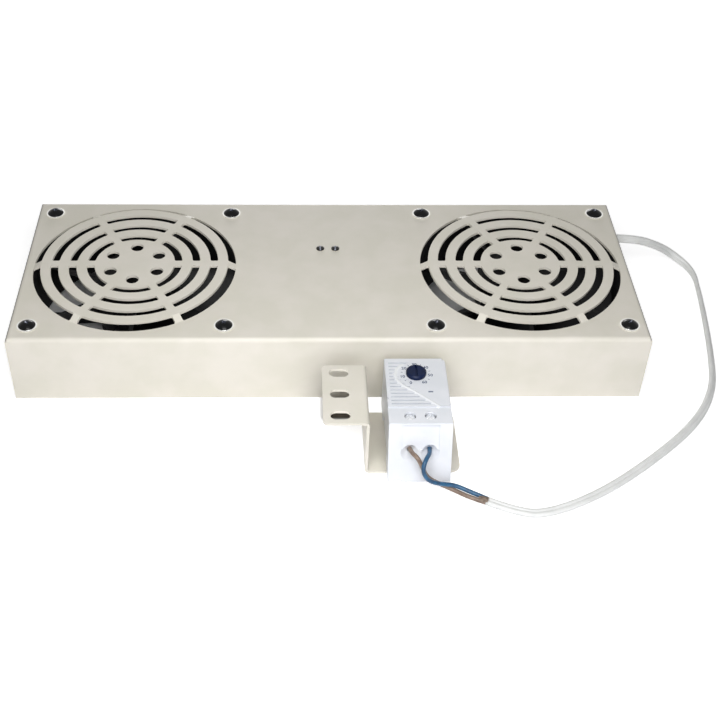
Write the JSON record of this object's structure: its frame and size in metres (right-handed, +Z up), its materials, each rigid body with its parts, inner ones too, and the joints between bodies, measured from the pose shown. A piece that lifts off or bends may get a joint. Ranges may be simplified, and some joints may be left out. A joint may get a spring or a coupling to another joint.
{
  "type": "rack fan tray",
  "caption": "folded sheet tray with axial fans under embossed slotted grilles, wired to a thermostat on a slotted Z bracket",
  "frame": {"origin": "the middle of the tray's four fixing holes, on the plane of its underside", "axes": "+X runs along the tray to its right end, +Y to its back wall with the mains inlet, +Z up through the grilles"},
  "size_m": [0.4042, 0.2218, 0.0448],
  "materials": {
    "painted_sheet": "satin powder coat, light grey",
    "fan_black": "moulded black",
    "bronze": "sintered bronze",
    "lamination_steel": "stacked laminations",
    "winding_copper": "enamelled copper wire",
    "rotor_steel": "pressed steel",
    "screw_chrome": "bright plated",
    "zinc_steel": "zinc plated",
    "grommet_rubber": "moulded rubber",
    "terminal_plastic": "natural nylon",
    "brass": "bright brass",
    "inlet_plastic": "moulded black",
    "brown_insulation": "wire insulation",
    "blue_insulation": "wire insulation",
    "green_insulation": "wire insulation",
    "black_insulation": "wire insulation",
    "white_sheath": "flexible white sheath",
    "case_plastic": "light grey moulding",
    "knob_plastic": "dark blue moulding",
    "bimetal_alloy": "rolled strip"
  },
  "bodies": {
    "tray": {"bimetal_strip": "bimetal_alloy", "block_nuts": "zinc_steel", "block_screws": "screw_chrome", "cable_grommet": "grommet_rubber", "clamp_screws": "zinc_steel", "contact_spring": "brass", "core_blue": "blue_insulation", "core_brown": "brown_insulation", "din_rail": "zinc_steel", "earth_lug": "zinc_steel", "earth_nut": "zinc_steel", "earth_stud": "zinc_steel", "fan_bushes_left": "bronze", "fan_bushes_right": "bronze", "fan_frame_left": "fan_black", "fan_frame_right": "fan_black", "fan_hub_left": "fan_black", "fan_hub_right": "fan_black", "fan_lead_left": "black_insulation", "fan_lead_right": "black_insulation", "fan_screws": "screw_chrome", "fan_stator_left": "lamination_steel", "fan_stator_right": "lamination_steel", "fan_winding_left": "winding_copper", "fan_winding_right": "winding_copper", "inlet_body": "inlet_plastic", "inlet_nuts": "zinc_steel", "inlet_pins": "brass", "inlet_screws": "zinc_steel", "inner_core_blue": "blue_insulation", "inner_core_brown": "brown_insulation", "lead_earth": "green_insulation", "lead_live": "brown_insulation", "lead_neutral": "blue_insulation", "rail_rivets": "zinc_steel", "terminal_block": "terminal_plastic", "terminal_clamps": "brass", "terminal_grub_screws": "zinc_steel", "terminal_inserts": "brass", "thermostat_base": "case_plastic", "thermostat_bracket": "painted_sheet", "thermostat_cable": "white_sheath", "thermostat_cover": "case_plastic", "tray_shell": "painted_sheet"},
    "left_impeller": {"impeller_left": "fan_black", "fan_rotor_left": "rotor_steel"},
    "right_impeller": {"impeller_right": "fan_black", "fan_rotor_right": "rotor_steel"},
    "knob": {"thermostat_knob": "knob_plastic", "knob_spindle": "brass"}
  },
  "joints": [
    {"name": "left_fan_spin", "type": "hinge", "parent": "tray", "child": "left_impeller", "pos_m": [-0.10965, 0, 0.02], "axis": [0, 0, 1], "continuous": true},
    {"name": "right_fan_spin", "type": "hinge", "parent": "tray", "child": "right_impeller", "pos_m": [0.10965, 0, 0.02], "axis": [0, 0, 1], "continuous": true},
    {"name": "knob_turn", "type": "hinge", "parent": "tray", "child": "knob", "pos_m": [0.0444, -0.0826, 0.034], "axis": [0, 0, 1], "range_deg": [-150, 150]}
  ]
}
